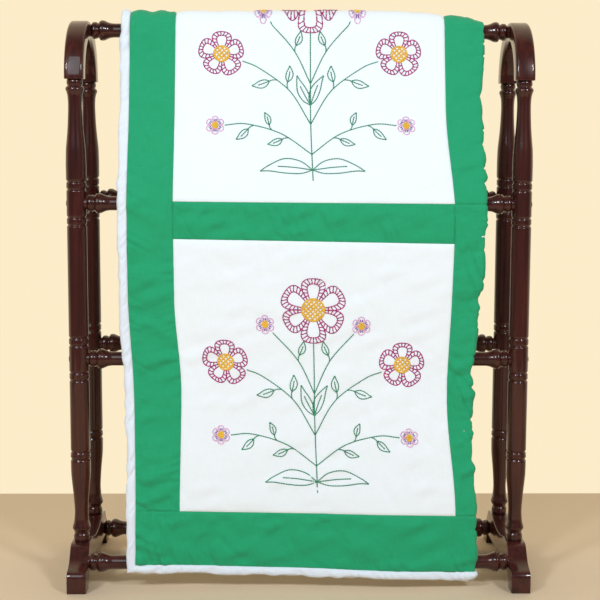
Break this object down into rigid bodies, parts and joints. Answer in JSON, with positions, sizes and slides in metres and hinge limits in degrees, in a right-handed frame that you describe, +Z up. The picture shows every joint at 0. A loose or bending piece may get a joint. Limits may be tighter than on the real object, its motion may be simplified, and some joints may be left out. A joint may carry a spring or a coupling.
{
  "type": "quilt on a rack",
  "caption": "Turned-wood floor rack with arched end frames and round rails, with a patchwork quilt folded lengthwise and draped over its top rail.",
  "frame": {"origin": "on the floor, midway between the two end frames and midway between the front and rear posts", "axes": "+Z up, +Y towards the back, +X to the right as seen from the front, where the quilt's front drop hangs"},
  "size_m": [0.755, 0.316, 0.9343],
  "materials": {
    "mahogany": "dark red mahogany stain under gloss lacquer",
    "screw_steel": "zinc-plated",
    "green_cotton": "plain-woven cotton, matte",
    "white_cotton": "plain-woven cotton, matte"
  },
  "bodies": {
    "rack": {"arch_left": "mahogany", "arch_right": "mahogany", "foot_left": "mahogany", "foot_right": "mahogany", "post_front_left": "mahogany", "post_rear_left": "mahogany", "post_front_right": "mahogany", "post_rear_right": "mahogany", "rail_top": "mahogany", "rail_upper_front": "mahogany", "rail_upper_rear": "mahogany", "rail_lower_front": "mahogany", "rail_lower_rear": "mahogany", "rail_bottom_front": "mahogany", "rail_bottom_rear": "mahogany", "screw_top_left": "screw_steel", "screw_top_right": "screw_steel", "screw_upper_front_left": "screw_steel", "screw_upper_front_right": "screw_steel", "screw_upper_rear_left": "screw_steel", "screw_upper_rear_right": "screw_steel", "screw_lower_front_left": "screw_steel", "screw_lower_front_right": "screw_steel", "screw_lower_rear_left": "screw_steel", "screw_lower_rear_right": "screw_steel", "screw_bottom_front_left": "screw_steel", "screw_bottom_front_right": "screw_steel", "screw_bottom_rear_left": "screw_steel", "screw_bottom_rear_right": "screw_steel", "plug_top_left": "mahogany", "plug_top_right": "mahogany", "plug_upper_front_left": "mahogany", "plug_upper_front_right": "mahogany", "plug_upper_rear_left": "mahogany", "plug_upper_rear_right": "mahogany", "plug_lower_front_left": "mahogany", "plug_lower_front_right": "mahogany", "plug_lower_rear_left": "mahogany", "plug_lower_rear_right": "mahogany", "plug_bottom_front_left": "mahogany", "plug_bottom_front_right": "mahogany", "plug_bottom_rear_left": "mahogany", "plug_bottom_rear_right": "mahogany"},
    "quilt": {"quilt_panel": "green_cotton", "binding_front_end": "white_cotton", "binding_back_end": "white_cotton", "binding_outer_side": "white_cotton", "binding_inner_side": "white_cotton"}
  },
  "joints": [
    {"name": "quilt_lift", "type": "slide", "parent": "rack", "child": "quilt", "axis": [0, 0, 1], "range_m": [0, 0.9]}
  ]
}
